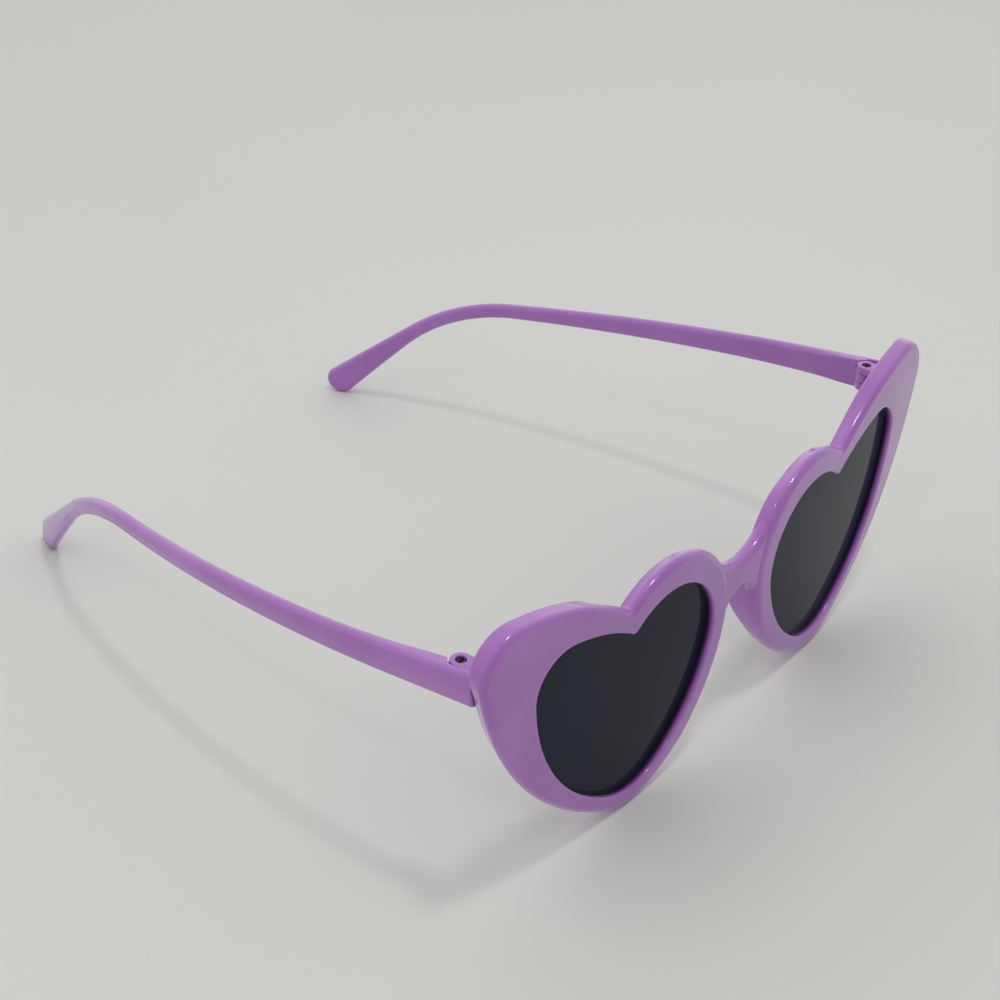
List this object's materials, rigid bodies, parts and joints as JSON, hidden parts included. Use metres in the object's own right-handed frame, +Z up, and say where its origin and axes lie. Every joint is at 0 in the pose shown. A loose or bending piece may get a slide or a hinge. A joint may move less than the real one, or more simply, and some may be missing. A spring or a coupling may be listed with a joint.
{
  "type": "sunglasses",
  "caption": "Sunglasses with a moulded heart shaped front, upswept outer corners, dark smoke lenses and slim folding temples on screw hinges.",
  "frame": {"origin": "middle of the ground rectangle under the open glasses, which stand on the heart points and the temple ends", "axes": "+Z up, +Y from the front towards the temple ends, +X to the wearer's left"},
  "size_m": [0.1486, 0.1528, 0.0569],
  "materials": {
    "frame_plastic": "glossy moulded orchid purple",
    "lens_tint": "glossy dark smoke, slightly see-through",
    "hinge_steel": "turned bare steel"
  },
  "bodies": {
    "front": {"frame_front": "frame_plastic", "left_lens": "lens_tint", "right_lens": "lens_tint", "left_hinge_screw": "hinge_steel", "right_hinge_screw": "hinge_steel"},
    "left_arm": {"left_temple": "frame_plastic"},
    "right_arm": {"right_temple": "frame_plastic"}
  },
  "joints": [
    {"name": "left_temple_hinge", "type": "hinge", "parent": "front", "child": "left_arm", "pos_m": [0.0686, -0.06229, 0.04494], "axis": [0, 0.006, 1], "range_deg": [0, 83]},
    {"name": "right_temple_hinge", "type": "hinge", "parent": "front", "child": "right_arm", "pos_m": [-0.0686, -0.06229, 0.04494], "axis": [0, -0.006, -1], "range_deg": [0, 77]}
  ]
}
